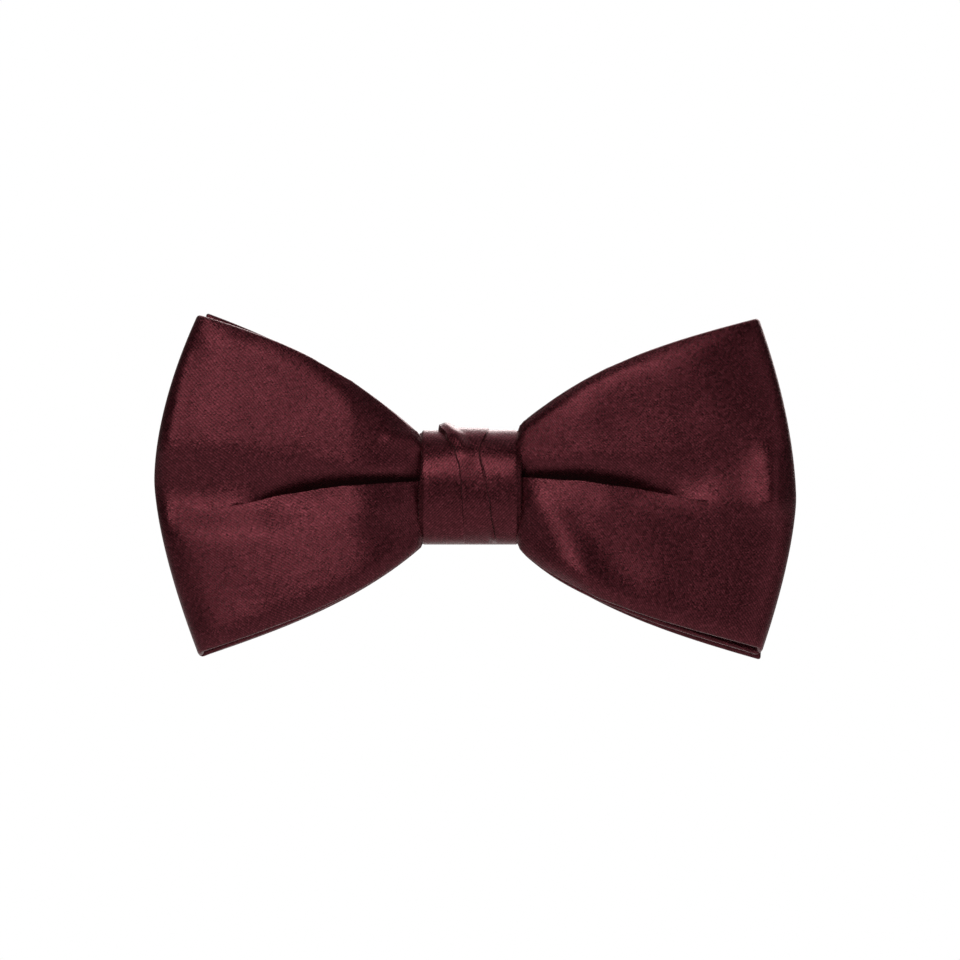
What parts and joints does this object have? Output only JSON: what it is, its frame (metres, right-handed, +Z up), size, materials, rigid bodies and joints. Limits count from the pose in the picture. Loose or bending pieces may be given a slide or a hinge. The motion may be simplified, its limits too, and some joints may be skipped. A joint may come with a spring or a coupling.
{
  "type": "bow tie",
  "caption": "Pre-tied satin bow tie: a pinched loop over a flat tail, held by a pleated knot band, with a sprung double clip behind for the shirt collar.",
  "frame": {"origin": "middle of the knot's flat back, where it lies on the collar", "axes": "+Z up as worn, the bow faces -Y, the wearer's collar is on the +Y side, +X to the right seen from the front"},
  "size_m": [0.12, 0.022, 0.0638],
  "materials": {
    "satin": "burgundy satin with a fine diagonal twill",
    "tail_satin": "burgundy satin, the layer behind",
    "stiffener": "undyed canvas",
    "thread": "burgundy sewing thread",
    "nickel": "nickel plate",
    "spring_wire": "drawn wire"
  },
  "bodies": {
    "bow": {"loop_satin": "satin", "loop_stiffener": "stiffener", "loop_join_stitches": "thread", "tail_satin": "tail_satin", "tail_stiffener": "stiffener", "tail_stitches_left": "thread", "tail_stitches_right": "thread", "gather_thread": "thread", "knot_band": "satin", "knot_padding": "stiffener", "knot_slip_stitches": "thread", "clip_plate": "nickel", "clip_tack_thread": "thread", "hinge_pin_left": "nickel", "hinge_pin_right": "nickel", "torsion_spring_left": "spring_wire", "torsion_spring_right": "spring_wire"},
    "lever_left": {"clip_lever_left": "nickel"},
    "lever_right": {"clip_lever_right": "nickel"}
  },
  "joints": [
    {"name": "lever_left_hinge", "type": "hinge", "parent": "bow", "child": "lever_left", "pos_m": [-0.0155, -0.00035, 0], "axis": [0, 0, -1], "range_deg": [0, 22], "stiffness_Nm_per_rad": 0.01, "springref_deg": -28.65, "deforming": ["torsion_spring_left"]},
    {"name": "lever_right_hinge", "type": "hinge", "parent": "bow", "child": "lever_right", "pos_m": [0.0155, -0.00035, 0], "axis": [0, 0, 1], "range_deg": [0, 22], "stiffness_Nm_per_rad": 0.01, "springref_deg": -28.65, "deforming": ["torsion_spring_right"]}
  ]
}
